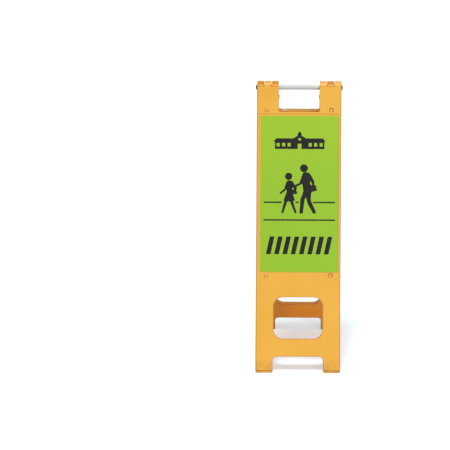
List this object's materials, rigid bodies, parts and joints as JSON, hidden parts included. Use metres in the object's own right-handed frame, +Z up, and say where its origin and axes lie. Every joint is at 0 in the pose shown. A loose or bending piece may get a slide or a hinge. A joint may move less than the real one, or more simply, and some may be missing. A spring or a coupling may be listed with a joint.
{
  "type": "school zone sign",
  "caption": "Folding A-frame sign stand of hollow moulded panels, hinged on a tube that is also the carry handle, with a green school crossing sheet on each outer face.",
  "frame": {"origin": "on the floor, midway between the feet and under the hinge tube", "axes": "+Z up, +X along the hinge tube to the right as seen from the front, -Y towards the front sheet"},
  "size_m": [0.3418, 0.5716, 1.1059],
  "materials": {
    "panel_plastic": "orange blow-moulded polyethylene, fine satin grain",
    "green_sheeting": "yellow-green reflective sheeting, smooth",
    "black_film": "cut black film",
    "tube_plastic": "pale grey-white pipe, satin",
    "plug_plastic": "dark brown-black moulded plug, satin",
    "cap_plastic": "ivory moulded cap, satin"
  },
  "bodies": {
    "front_leg": {"front_panel": "panel_plastic", "front_sheet": "green_sheeting", "front_schoolhouse": "black_film", "front_pupils": "black_film", "front_crossing_lines": "black_film", "front_crossing_bars": "black_film"},
    "rear_leg": {"rear_panel": "panel_plastic", "rear_sheet": "green_sheeting", "rear_schoolhouse": "black_film", "rear_pupils": "black_film", "rear_crossing_lines": "black_film", "rear_crossing_bars": "black_film"},
    "handle": {"hinge_tube": "tube_plastic", "left_end_plug": "plug_plastic", "right_end_plug": "plug_plastic"},
    "front_plug": {"front_fill_plug": "cap_plastic"},
    "rear_plug": {"rear_fill_plug": "cap_plastic"}
  },
  "joints": [
    {"name": "fold", "type": "hinge", "parent": "front_leg", "child": "rear_leg", "pos_m": [0, 0, 1.08013], "axis": [1, 0, 0], "range_deg": [-27, 0]},
    {"name": "handle_spin", "type": "hinge", "parent": "front_leg", "child": "handle", "pos_m": [0, 0, 1.08013], "axis": [1, 0, 0], "continuous": true},
    {"name": "front_plug_pull", "type": "slide", "parent": "front_leg", "child": "front_plug", "axis": [0, 0.2334, 0.9724], "range_m": [0, 0.014]},
    {"name": "rear_plug_pull", "type": "slide", "parent": "rear_leg", "child": "rear_plug", "axis": [0, -0.2334, 0.9724], "range_m": [0, 0.014]}
  ]
}
